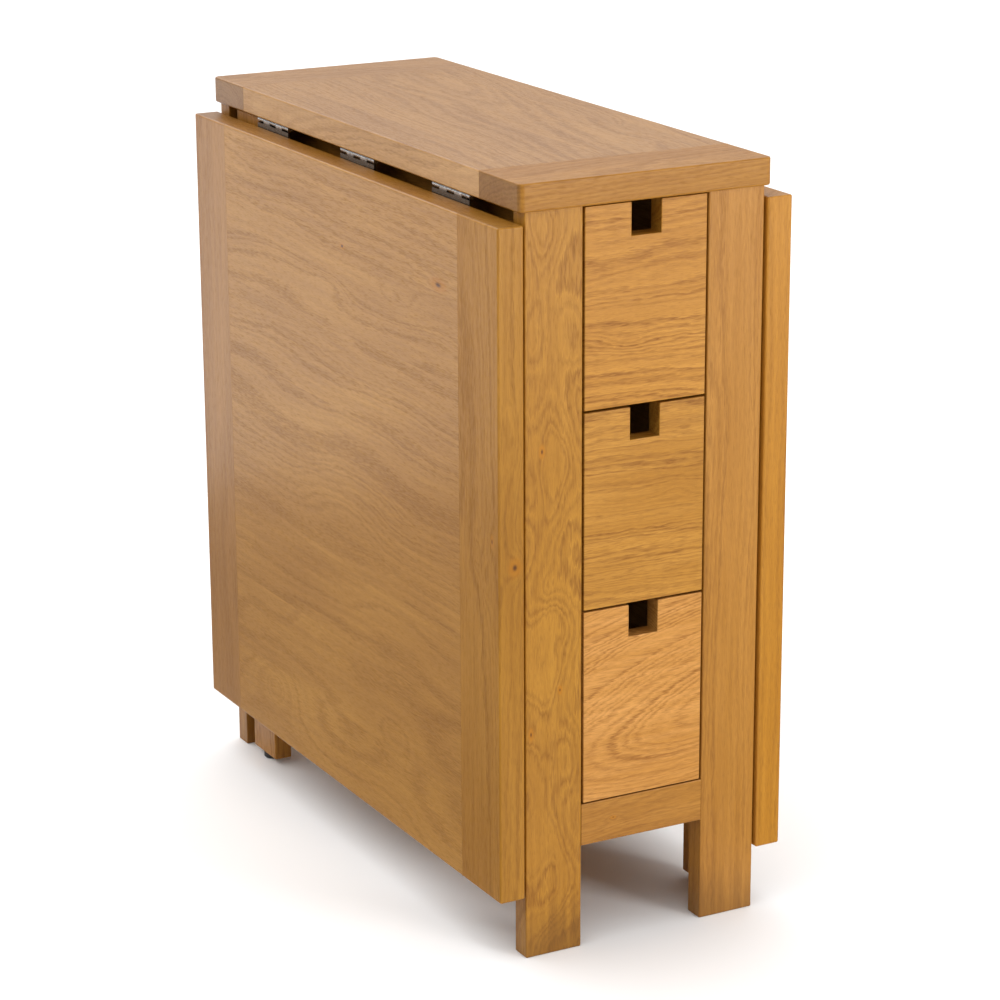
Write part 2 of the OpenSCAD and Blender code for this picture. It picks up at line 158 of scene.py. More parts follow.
class Graph:
    """The node tree of one material or of the surroundings."""

    def __init__(self, owner: bpy.types.Material | bpy.types.World) -> None:
        """Gives a material or the surroundings an empty tree.

        Args:
            owner: The material or the world.
        """
        self.owner = owner
        owner.use_nodes = True
        self.tree = owner.node_tree
        self.tree.nodes.clear()

    @classmethod
    def named(cls, name: str) -> "Graph":
        """Starts a material.

        Args:
            name: The material's name.

        Returns:
            Its graph.
        """
        return cls(bpy.data.materials.new(name))

    def node(
        self,
        kind: str,
        settings: Mapping[str, Any] | None = None,
        inputs: Mapping[int | str, Term] | None = None,
        output: int | str = 0,
    ) -> Signal:
        """Adds a node.

        Args:
            kind: The node's type.
            settings: Its properties, set before its sockets. "stops" are a colour ramp's.
            inputs: Values or signals by the socket's name or place.
            output: The socket to hand on, by name or place.

        Returns:
            The chosen output, with no socket if the node has none.
        """
        made = self.tree.nodes.new(kind)
        for name, value in (settings or {}).items():
            if name == "stops":
                self.set_stops(made.color_ramp, value)
            else:
                setattr(made, name, value)
        for name, value in (inputs or {}).items():
            if isinstance(value, Signal):
                self.tree.links.new(value.socket, made.inputs[name])
            else:
                made.inputs[name].default_value = value
        return Signal(self, made.outputs[output] if len(made.outputs) else None)

    @staticmethod
    def set_stops(ramp: bpy.types.ColorRamp, stops: Sequence[tuple[float, float]]) -> None:
        """Gives a colour ramp grey stops.

        Args:
            ramp: The ramp.
            stops: Place and brightness of each, in order.
        """
        while len(ramp.elements) < len(stops):
            ramp.elements.new(1.0)
        for element, (place, value) in zip(ramp.elements, stops):
            element.position = place
            element.color = (value, value, value, 1.0)

    def join(self, operation: str, first: Term, second: Term | None = None) -> Signal:
        """Adds the node that fits the terms: Mix for colours, Vector Math for vectors, else Math.

        Args:
            operation: The operation's name in Math.
            first: The first term.
            second: The second term, if there is one.

        Returns:
            The result.
        """
        terms = [term for term in (first, second) if term is not None]
        kinds = {term.socket.type for term in terms if isinstance(term, Signal)}
        if "RGBA" in kinds:
            settings = {"data_type": "RGBA", "blend_type": operation}
            whole = {MIX_FIRST + place: self.as_colour(term) for place, term in enumerate(terms)}
            return self.node("ShaderNodeMix", settings, {MIX_FACTOR: 1.0, **whole}, MIX_RESULT)
        if "VECTOR" in kinds:
            whole = {place: self.as_vector(term) for place, term in enumerate(terms)}
            return self.node("ShaderNodeVectorMath", {"operation": operation}, whole)
        return self.node("ShaderNodeMath", {"operation": operation}, dict(enumerate(terms)))

    @staticmethod
    def as_colour(term: Term) -> Term:
        """Makes a term fit a colour socket.

        Args:
            term: A signal, a number or three numbers.

        Returns:
            The signal as it is, a number as a grey, and three numbers as a colour.
        """
        if isinstance(term, Signal):
            return term
        parts = term if isinstance(term, tuple) else (term,) * 3
        return (*parts, 1.0)

    @staticmethod
    def as_vector(term: Term) -> Term:
        """A number as three equal ones."""
        return (term,) * 3 if isinstance(term, (int, float)) else term

    def blend(self, share: Term, first: Term, second: Term) -> Signal:
        """Mixes two colours.

        Args:
            share: How much of the second.
            first: A colour.
            second: Another colour.

        Returns:
            The mixed colour.
        """
        inputs = {MIX_FACTOR: share, MIX_FIRST: self.as_colour(first), MIX_SECOND: self.as_colour(second)}
        return self.node("ShaderNodeMix", {"data_type": "RGBA"}, inputs, MIX_RESULT)

    def noise(self, spot: Signal, spans: Triple, seed: float, detail: float = 1.0) -> Signal:
        """Smooth noise, stretched along the axes.

        Args:
            spot: The place, in millimetres.
            spans: Size of its lumps along each axis, in millimetres.
            seed: Chooses the pattern.
            detail: How many finer layers it has.

        Returns:
            A value around 0.5.
        """
        at = spot * tuple(1.0 / span for span in spans) + (seed, 1.7 * seed, 2.3 * seed)
        return self.node("ShaderNodeTexNoise", {}, {"Vector": at, "Scale": 1.0, "Detail": detail})

    def here(self) -> Signal:
        """The place on the piece at rest, in millimetres."""
        return self.node("ShaderNodeTexCoord", output="Object") * (1.0 / MM)

    def split(self, vector: Signal) -> dict[str, Signal]:
        """The three parts of a vector, by axis."""
        parts = self.node("ShaderNodeSeparateXYZ", {}, {0: vector}).socket.node.outputs
        return {part.name: Signal(self, part) for part in parts}

    def finish(
        self, sockets: Mapping[str, Term], height: Signal, depth: float, strength: float
    ) -> bpy.types.Material:
        """Adds the shader with its bumps, and the output.

        Args:
            sockets: Values or signals of the Principled shader.
            height: Height of the surface.
            depth: What a height of 1 stands for, in millimetres.
            strength: How strongly the bumps show.

        Returns:
            The finished material.
        """
        bump_inputs = {"Height": height, "Distance": depth * MM, "Strength": strength}
        normal = self.node("ShaderNodeBump", {}, bump_inputs)
        shader = self.node("ShaderNodeBsdfPrincipled", {}, {**sockets, "Normal": normal})
        self.node("ShaderNodeOutputMaterial", {}, {"Surface": shader})
        return self.owner


@dataclass(frozen=True)
class Knot:
    """A knot, or only the swirl of grain that one leaves above or below it."""

    at: Triple
    """Its middle, in millimetres in the table's frame."""
    reach: float
    """How far the grain bends around it, across the board."""
    push: float
    """How far the rings are pushed outward at its middle."""
    core: float = 0.0
    """Radius of its dark heart, or 0 for none."""
    stretch: float = 1.8
    """Its length along the grain, in widths."""


@dataclass(frozen=True)
class Board:
    """How one board was sawn from its log."""

    node: str
    grain: Grain
    pith: tuple[float, float] = (20.0, 70.0)
    """The log's heart, across and inward of the board's middle, in millimetres."""
    tilt: tuple[float, float] = (0.02, 0.05)
    """Slope of the heart across and inward, along the board."""
    ring: float = 3.4
    """Width of a year's growth."""
    sway: float = 26.0
    """Swing of the broad waves in the rings."""
    waves: Triple = (240.0, 60.0, 60.0)
    """Size of the broad waves along, across and inward."""
    ripple: float = 5.0
    """Swing of the short waves in the rings."""
    tone_and_painted_light: Triple = (1.0, 1.0, 1.0)
    # """This board's own tone against the finish's, together with painted light and shade: whole boards are
    # lightened or darkened for how light falls on them."""
    """Shade of this board against the finish's own."""
    rim: Triple | None = None
    # """Painted light and shade on its edges against its broad faces, if any: a colour factor that lightens or
    # darkens the edges as light falls on them."""
    """Shade of its edges against its broad faces, if they differ."""
    contrast: float = 1.0
    """Strength of the growth rings' colour."""
    foot: float = 0.0
    # """How far up from the floor the finish is darkened, with a ragged upper limit, or 0."""
    """How far up from the floor the finish is scuffed and grimy, or 0."""
    stave: float = 0.0
    """Width of the strips that the board is glued from, or 0 for one piece."""
    knots: tuple[Knot, ...] = ()
    ease: float = 1.5
    """Radius of the sanded edges."""
    seams: tuple[tuple[int, float], ...] = ()
    """Planes where a glued neighbour lies flush, as axis and place in millimetres."""

    @property
    def seed(self) -> float:
        """A number of the board's own, from its name."""
        return sum((place + 3) * ord(letter) for place, letter in enumerate(self.node)) % 997 * 0.37


@dataclass(frozen=True)
class OakFinish:
    """Satin lacquered oak with open pores."""

    pale: Triple = (0.480, 0.218, 0.036)
    deep: Triple = (0.368, 0.153, 0.017)
    ring_line: Triple = (0.215, 0.074, 0.006)
    pore: Triple = (0.100, 0.034, 0.006)
    heart: Triple = (0.115, 0.036, 0.004)
    resin: Triple = (0.470, 0.175, 0.005)
    darkening_near_floor: Triple = (0.120, 0.052, 0.012)
    end_grain: float = 0.74
    ring_share: float = 0.60
    pore_share: float = 0.17
    roughness: float = 0.36
    gloss: float = 0.25
    coat: float = 0.04
    coat_roughness: float = 0.20
    pore_depth: float = 0.10
    bump: float = 0.16
    fibre_span: Triple = (26.0, 0.8, 0.8)
    """Size of the finest streaks along, across and inward, in millimetres, as of the spans below."""
    dash_span: Triple = (34.0, 3.0, 3.0)
    """Size of the breaks in the ring lines."""
    feather_span: Triple = (15.0, 1.5, 1.5)
    """Size of the frayed ends of the ring lines."""
    streak_span: Triple = (150.0, 6.0, 6.0)
    cloud_span: Triple = (260.0, 80.0, 80.0)
    ripple_span: Triple = (46.0, 13.0, 13.0)
    pore_span: Triple = (9.0, 0.42, 0.42)
    stave_shift: Triple = (900.0, 60.0, 24.0)
    """How far apart in the log two glued strips can lie."""
    stave_shade: float = 0.36
    """How much two glued strips can differ in tone."""

    def dress(self, board: Board) -> bpy.types.Material:
        """Makes one board's material.

        Args:
            board: The board.

        Returns:
            The material.
        """
        graph = Graph.named(f"oak_{board.node}")
        place = wood = self.in_board(graph, board)
        shade = 0.0
        if board.stave:
            wood, shade = self.in_stave(graph, board, wood)
        radius, heart = self.ring_radius(graph, board, wood, place)
        feather = graph.noise(wood, self.feather_span, board.seed + 5.5)
        early = self.early_wood(graph, board, radius, feather)
        fibre = graph.noise(wood, self.fibre_span, board.seed + 1.3, 2.0)
        streak = graph.noise(wood, self.streak_span, board.seed + 4.1)
        cloud = graph.noise(wood, self.cloud_span, board.seed + 7.7)
        pores = self.pores(graph, board, wood, early)

        mottle = (streak - 0.5) * 1.2 + (cloud - 0.5) * 1.5 + (fibre - 0.5) * 0.35
        tone = (0.5 + shade + mottle).ramp(0.0, 1.0, smooth=False)
        # The board's colours times its tone, which also carries painted light and shade.
        pale, deep, line = (self.shade(colour, board.tone_and_painted_light) for colour in (self.pale, self.deep, self.ring_line))
        ground = graph.blend(tone, deep, pale)
        dashes = graph.noise(wood, self.dash_span, board.seed + 6.2)
        broken = 0.55 + fibre * 0.35 + dashes.ramp(0.30, 0.68) * 0.55
        ringed = graph.blend(early * broken * (self.ring_share * board.contrast), ground, line)
        colour = graph.blend(pores * self.pore_share, ringed, self.shade(self.pore, board.tone_and_painted_light))
        if heart is not None:
            colour = graph.blend(heart.ramp(0.01, 0.22) * 0.7, colour, self.resin)
            colour = graph.blend(heart.ramp(0.20, 0.95, smooth=False) * 1.1, colour, self.heart)
        colour = graph.blend(self.facing(graph, board, 0), colour, colour * self.end_grain)
        # Painted light and shade on the edges: they are lightened or darkened against the broad faces.
        if board.rim:
            colour = graph.blend(self.facing(graph, board, 1), colour, colour * board.rim)
        # Darker towards the floor, up to this height, with a ragged upper limit.
        if board.foot:
            height = graph.split(graph.here())["Z"] + (cloud - 0.5) * board.foot + (streak - 0.5) * board.foot
            colour = graph.blend(height.ramp(board.foot, 0.0) * 0.45, colour, self.darkening_near_floor)
        relief = fibre * 0.3 - pores * 0.9
        sockets = {
            "Base Color": colour,
            "Roughness": self.roughness + pores * 0.18 + (fibre - 0.5) * 0.10 + early * 0.05,
            "Coat Weight": self.coat,
            "Coat Roughness": self.coat_roughness,
            "Specular IOR Level": self.gloss,
        }
        return graph.finish(sockets, relief, self.pore_depth, self.bump)

    @staticmethod
    def shade(colour: Triple, tone_and_painted_light: Triple) -> Triple:
        """A colour times a board's tone and painted light."""
        return tuple(part * share for part, share in zip(colour, tone_and_painted_light))

    @staticmethod
    def facing(graph: Graph, board: Board, way: int) -> Signal:
        """Where the surface faces along one of the board's directions.

        Args:
            graph: The material's graph.
            board: The board.
            way: 0 for end grain, 1 for the edges, 2 for the broad faces.

        Returns:
            1 where it does, 0 where it doesn't.
        """
        normal = graph.node("ShaderNodeTexCoord", output="Normal")
        return graph.split(normal)[board.grain.value[way]].size().ramp(0.6, 0.9)

    @staticmethod
    def in_board(graph: Graph, board: Board) -> Signal:
        """The place in the board's own directions.

        Args:
            graph: The material's graph.
            board: The board.

        Returns:
            A vector of along, across and inward, in millimetres from the board's middle.
        """
        low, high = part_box(board.node)
        middle = tuple((low + high) * (0.5 / MM))
        parts = graph.split(graph.here() - middle)
        ordered = {place: parts[axis] for place, axis in enumerate(board.grain.value)}
        return graph.node("ShaderNodeCombineXYZ", {}, ordered)

    def in_stave(self, graph: Graph, board: Board, wood: Signal) -> tuple[Signal, Signal]:
        """The place in a glued strip, each from another part of the log.

        Args:
            graph: The material's graph.
            board: The board.
            wood: The place in the board's directions.

        Returns:
            The place in the strip's own part of the log, and the strip's shade.
        """
        strip = (graph.split(wood)["Y"] / board.stave).floor()
        settings = {"noise_dimensions": "1D"}
        picked = graph.node("ShaderNodeTexWhiteNoise", settings, {"W": strip + board.seed}, "Color")
        parts = graph.node("ShaderNodeSeparateColor", {}, {0: picked}).socket.node.outputs
        first, second, third = (Signal(graph, part) - 0.5 for part in parts)
        along, across, inward = self.stave_shift
        shifts = {0: first * along, 1: second * across, 2: third * inward}
        return wood + graph.node("ShaderNodeCombineXYZ", {}, shifts), third * self.stave_shade

    def ring_radius(
        self, graph: Graph, board: Board, wood: Signal, place: Signal
    ) -> tuple[Signal, Signal | None]:
        """Distance from the log's heart, with its waves and knots.

        Args:
            graph: The material's graph.
            board: The board.
            wood: The place in the log, in the board's directions.
            place: The place in the board, in the same directions.

        Returns:
            The distance in millimetres, and the share of knot heart, or None without one.
        """
        along, across, inward = graph.split(wood).values()
        from_heart = across - board.pith[0] - along * board.tilt[0]
        depth = inward - board.pith[1] - along * board.tilt[1]
        radius = (from_heart * from_heart + depth * depth).root()
        sway = graph.noise(wood, board.waves, board.seed, 0.0)
        ripple = graph.noise(wood, self.ripple_span, board.seed + 2.9)
        radius = radius + (sway - 0.5) * board.sway + (ripple - 0.5) * board.ripple
        low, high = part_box(board.node)
        middle = (low + high) * (0.5 / MM)
        heart = None
        order = ["XYZ".index(axis) for axis in board.grain.value]
        for knot in board.knots:
            spot = tuple(knot.at[axis] - middle[axis] for axis in order)
            scale = (1.0 / (knot.reach * knot.stretch), 1.0 / knot.reach, 1.0 / knot.reach)
            away = ((place - spot) * scale).length()
            radius = radius + knot.push / (1.0 + away * away) ** 2.0
            if knot.core:
                rim = knot.core / knot.reach
                ragged = away + (ripple - 0.5) * rim * 1.6
                shade = ragged.ramp(1.7 * rim, 0.2 * rim) * 0.62 + ragged.ramp(6.0 * rim, 0.5 * rim) * 0.26
                heart = shade if heart is None else heart + shade
        return radius, heart

    @staticmethod
    def early_wood(graph: Graph, board: Board, radius: Signal, feather: Signal) -> Signal:
        """The dark porous band that starts each year's growth.

        Args:
            graph: The material's graph.
            board: The board.
            radius: Distance from the log's heart.
            feather: Noise that frays the bands along the fibres.

        Returns:
            The band's strength.
        """
        slow = {"W": radius / (board.ring * 4.0) + board.seed, "Scale": 1.0, "Detail": 1.0}
        uneven = graph.node("ShaderNodeTexNoise", {"noise_dimensions": "1D"}, slow)
        turn = radius / board.ring + (uneven - 0.5) * 3.4 + (feather - 0.5) * 1.1
        settings = {"noise_dimensions": "1D"}
        year = graph.node("ShaderNodeTexWhiteNoise", settings, {"W": turn.floor() + board.seed})
        stops = ((0.0, 0.0), (0.24, 0.82), (0.36, 1.0), (0.54, 0.55), (0.80, 0.12), (1.0, 0.0))
        band = graph.node("ShaderNodeValToRGB", {"stops": stops}, {0: turn.fraction()})
        value = graph.node("ShaderNodeRGBToBW", {}, {0: band})
        fine = (turn * 3.0).fraction().ramp(1.0, 0.1)
        return value * (0.25 + year * 0.65) + fine * 0.16

    def pores(self, graph: Graph, board: Board, wood: Signal, early: Signal) -> Signal:
        """The open pores, thickest in the early wood.

        Args:
            graph: The material's graph.
            board: The board.
            wood: The place in the board's directions.
            early: The early wood's strength.

        Returns:
            1 in a pore, 0 beside it.
        """
        fine = graph.noise(wood, self.pore_span, board.seed + 9.1, 0.0)
        return (fine + early * 0.16).ramp(0.60, 0.72)


@dataclass(frozen=True)
class SteelFinish:
    """Zinc-plated steel with faint rolling marks, and painted shade on the hinge flaps away from the knuckles."""

    name: str = "zinc_steel"
    colour: Triple = (0.66, 0.665, 0.67)
    dull: Triple = (0.40, 0.405, 0.41)
    flap_painted_shade: Triple = (0.20, 0.195, 0.185)
    roughness: float = 0.27
    knuckle: tuple[float, float] = (3.3, 3.9)
    # """Where the bright knuckle ends and the painted shade on the hinge flaps begins, from the pin, in
    # millimetres."""
    """Where the rubbed knuckle ends and the duller flap begins, from the pin, in millimetres."""

    def dress(self, pins: str) -> bpy.types.Material:
        """Makes the material.

        Args:
            pins: The node of the pins that the knuckles turn on.

        Returns:
            The material.
        """
        graph = Graph.named(f"{self.name}_{pins}")
        spot = graph.here()
        low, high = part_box(pins)
        middle = (low + high) * (0.5 / MM)
        from_pin = ((spot - tuple(middle)) * (1.0, 0.0, 1.0)).length()
        marks = graph.noise(spot, (0.5, 22.0, 0.5), 3.0, 2.0)
        cloud = graph.noise(spot, (9.0, 9.0, 9.0), 5.0, 2.0)
        # Painted shade: away from the knuckles the hinge flaps are painted dark.
        flap_shaded = from_pin.ramp(*self.knuckle)
        plated = graph.blend(cloud.ramp(0.3, 0.7), self.colour, self.dull)
        sockets = {
            "Base Color": graph.blend(flap_shaded, plated, self.flap_painted_shade),
            "Metallic": 1.0,
            "Roughness": self.roughness + (marks - 0.5) * 0.14 + (cloud - 0.5) * 0.12,
        }
        return graph.finish(sockets, marks, 0.02, 0.2)


@dataclass(frozen=True)
class PlasticFinish:
    """Moulded black plastic with a fine grain."""

    name: str = "black_plastic"
    colour: Triple = (0.012, 0.012, 0.013)
    worn: Triple = (0.045, 0.043, 0.042)
    roughness: float = 0.42

    def dress(self) -> bpy.types.Material:
        """Makes the material.

        Returns:
            The material.
        """
        graph = Graph.named(self.name)
        spot = graph.here()
        grain = graph.noise(spot, (0.5, 0.5, 0.5), 2.0, 1.0)
        scuff = graph.noise(spot, (6.0, 6.0, 2.0), 8.0, 3.0)
        sockets = {
            "Base Color": graph.blend(scuff.ramp(0.52, 0.72) * 0.6, self.colour, self.worn),
            "Roughness": self.roughness + scuff.ramp(0.45, 0.75) * 0.2,
        }
        return graph.finish(sockets, grain, 0.05, 0.3)


def ease_edges(piece: bpy.types.Object, width: float, seams: Sequence[tuple[int, float]]) -> None:
    """Rounds a board's outer edges, and leaves a hairline where a glued neighbour lies flush.

    Args:
        piece: The board's object.
        width: The rounding's width, in millimetres.
        seams: Planes of the flush joints, as axis and place in millimetres.
    """
    hairline, sharp_turn, flat_turn = 0.12, math.radians(30.0), math.radians(0.5)
    near, same_spot = 0.05, 0.01
    mesh = piece.data
    spots = [tuple(round(part / MM, 2) for part in vertex.co) for vertex in mesh.vertices]
    sides = defaultdict(list)
    for polygon in mesh.polygons:
        for pair in polygon.edge_keys:
            sides[frozenset(spots[place] for place in pair)].append((polygon.normal.copy(), polygon.center.copy()))
    weights = mesh.attributes.new("bevel_weight_edge", "FLOAT", "EDGE")
    for edge in mesh.edges:
        ends = frozenset(spots[place] for place in edge.vertices)
        met = sides[ends]
        folded = len(met) == 2 and met[0][0].angle(met[1][0], 0.0) > sharp_turn
        if not folded or (met[1][1] - met[0][1]).dot(met[0][0]) > 0.0:
            continue
        flush = any(all(abs(end[axis] - place) < near for end in ends) for axis, place in seams)
        weights.data[edge.index].value = hairline if flush else 1.0
    piece.modifiers.new("joined", "WELD").merge_threshold = same_spot * MM
    flat = piece.modifiers.new("whole_faces", "DECIMATE")
    flat.decimate_type = "DISSOLVE"
    flat.angle_limit = flat_turn
    bevel = piece.modifiers.new("eased_edges", "BEVEL")
    bevel.limit_method = "WEIGHT"
    bevel.width = width * MM
    bevel.segments = 3
    bevel.loop_slide = False
    normals = piece.modifiers.new("even_shading", "WEIGHTED_NORMAL")
    normals.keep_sharp = False
    normals.weight = 100


def dress(node: str, material: bpy.types.Material) -> None:
    """Gives a CAD node one material.

    Args:
        node: The node's name.
        material: The material.
    """
    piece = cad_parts[node]
    for place in piece.material_slots:
        place.material = material
    LOG.info("%s wears %s", node, material.name)


def dress_boards(finish: OakFinish, boards: Sequence[Board]) -> None:
    """Dresses boards and eases their edges.

    Args:
        finish: The oak's finish.
        boards: The boards.
    """
    for board in boards:
        dress(board.node, finish.dress(board))
        if board.ease:
            ease_edges(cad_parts[board.node], board.ease, board.seams)


@dataclass
class Slab:
    """The fixed top: a long centre board between two cross boards."""

    joint_y: float = 264.5
    ease: float = 2.0

    def dress(self, oak: OakFinish, polished: OakFinish) -> None:
        """Dresses the three boards.

        Args:
            oak: The front board's finish.
            polished: The finish of the other two.
        """
        seams = ((1, -self.joint_y), (1, self.joint_y))
        # Painted light and shade: the board is darkened a little, and its long sides are painted much lighter and
        # whiter, a painted sheen.
        centre = Board(
            "top_center_board", Grain.ALONG_Y_FACE_Z, pith=(34.0, -48.0), tilt=(0.10, 0.03), ring=7.5,
            sway=34.0, ripple=5.0, tone_and_painted_light=(0.93, 0.95, 0.98), rim=(1.30, 1.47, 2.5), contrast=0.8, stave=90.0,
            ease=self.ease, seams=seams,
            knots=(
                Knot((93.0, -150.0, 760.0), 22.0, 20.0, stretch=2.6),
                Knot((70.0, -215.0, 760.0), 14.0, -12.0, stretch=2.0),
                Knot((100.0, 60.0, 760.0), 20.0, 16.0, stretch=3.0),
            ),
        )
        # Painted shade: the board is darkened, and its front and back faces are painted darker and yellower.
        front = Board(
            "top_front_board", Grain.ALONG_X_FACE_Z, pith=(-30.0, -70.0), ring=4.2, sway=10.0,
            tone_and_painted_light=(0.92, 0.92, 0.92), rim=(0.96, 0.94, 0.62), contrast=0.8, ease=self.ease, seams=seams,
        )
        back = Board(
            "top_back_board", Grain.ALONG_X_FACE_Z, pith=(24.0, -60.0), ring=4.4, sway=10.0,
            tone_and_painted_light=(0.86, 0.85, 0.82), contrast=0.7, ease=self.ease, seams=seams,
        )
        dress_boards(polished, (centre, back))
        dress_boards(oak, (front,))


@dataclass
class Leaf:
    """A drop leaf: a centre board with the grain along the table, and a cross board at each end."""

    side: Side
    joint_y: float = 264.5
    outer_x: float = 158.0
    ease: float = 2.0

    def knots(self) -> tuple[Knot, ...]:
        """Places the centre board's knots and swirls.

        Returns:
            The knots.
        """
        outer = self.side.sign * self.outer_x
        if self.side is Side.RIGHT:
            return (
                Knot((outer, 120.0, 520.0), 26.0, 22.0, 1.3),
                Knot((outer, -60.0, 210.0), 40.0, 30.0, stretch=2.4),
            )
        return (
            Knot((outer, -18.9, 644.8), 7.0, 5.0, 0.9, 1.6),
            Knot((outer, -225.3, 646.8), 12.0, 12.0, 1.8, 2.4),
            Knot((outer, -140.0, 612.0), 20.0, 26.0, stretch=4.6),
            Knot((outer, 20.0, 600.0), 17.0, -20.0, stretch=4.0),
            Knot((outer, 165.4, 122.7), 34.0, 44.0, stretch=1.7),
            Knot((outer, -120.8, 163.1), 36.0, 40.0, stretch=2.0),
            Knot((outer, -144.9, 226.3), 10.0, -12.0, stretch=6.0),
        )

    def edge_tone_and_painted_light(self) -> Triple:
        """Tone and painted light of the front board: the right one is painted much lighter, the left one yellower.
        """
        return (1.30, 1.29, 1.08) if self.side is Side.RIGHT else (1.01, 1.02, 0.78)

    def edge_knots(self) -> tuple[Knot, ...]:
        """Places the front board's knots.

        Returns:
            The knots, none on the right.
        """
        outer = self.side.sign * self.outer_x
        if self.side is Side.RIGHT:
            return ()
        return (
            Knot((-141.0, -342.5, 399.7), 13.0, 16.0, 2.0, 1.3),
            Knot((outer, -329.3, 424.0), 9.0, 8.0, 0.9, 2.0),
            Knot((outer, -299.0, 404.0), 9.0, 12.0, 0.0, 2.4),
            Knot((outer, -317.1, 387.3), 10.0, 12.0, 0.0, 3.0),
            Knot((-145.8, -342.5, 523.7), 14.0, 18.0, stretch=3.0),
        )

    def dress(self, oak: OakFinish, polished: OakFinish) -> None:
        """Dresses the three boards.

        Args:
            oak: The front board's finish.
            polished: The finish of the other two.
        """
        name = f"leaf_{self.side.value}"
        seams = ((1, -self.joint_y), (1, self.joint_y))
        inward = -self.side.sign
        # Painted light and shade: the board is lightened, and its top and bottom edges are painted darker, as shade
        # under the slab's overhang.
        centre = Board(
            f"{name}_center_board", Grain.ALONG_Y_FACE_X, pith=(-190.0, inward * 95.0), tilt=(0.03, 0.05),
            ring=10.0, sway=40.0, waves=(170.0, 70.0, 60.0), ripple=6.0, tone_and_painted_light=(1.12, 1.15, 0.82),
            rim=(0.74, 0.70, 0.62), contrast=0.62, stave=82.25, ease=self.ease, seams=seams, knots=self.knots(),
        )
        # Painted shade: the board's front and back end faces are painted darker and less blue.
        front = Board(
            f"{name}_front_board", Grain.UPRIGHT_FACE_X, pith=(26.0, inward * 60.0), tilt=(0.01, 0.02), ring=6.0,
            sway=10.0, ripple=3.0, tone_and_painted_light=self.edge_tone_and_painted_light(), rim=(0.87, 0.86, 0.60), contrast=0.65, ease=self.ease,
            seams=seams, knots=self.edge_knots(),
        )
        back = Board(
            f"{name}_back_board", Grain.UPRIGHT_FACE_X, pith=(-20.0, inward * 70.0), tilt=(0.02, 0.02), ring=6.0,
            sway=14.0, ripple=4.0, tone_and_painted_light=(0.94, 0.92, 0.84), contrast=0.6, ease=self.ease, seams=seams,
        )
        dress_boards(polished, (centre, back))
        dress_boards(oak, (front,))


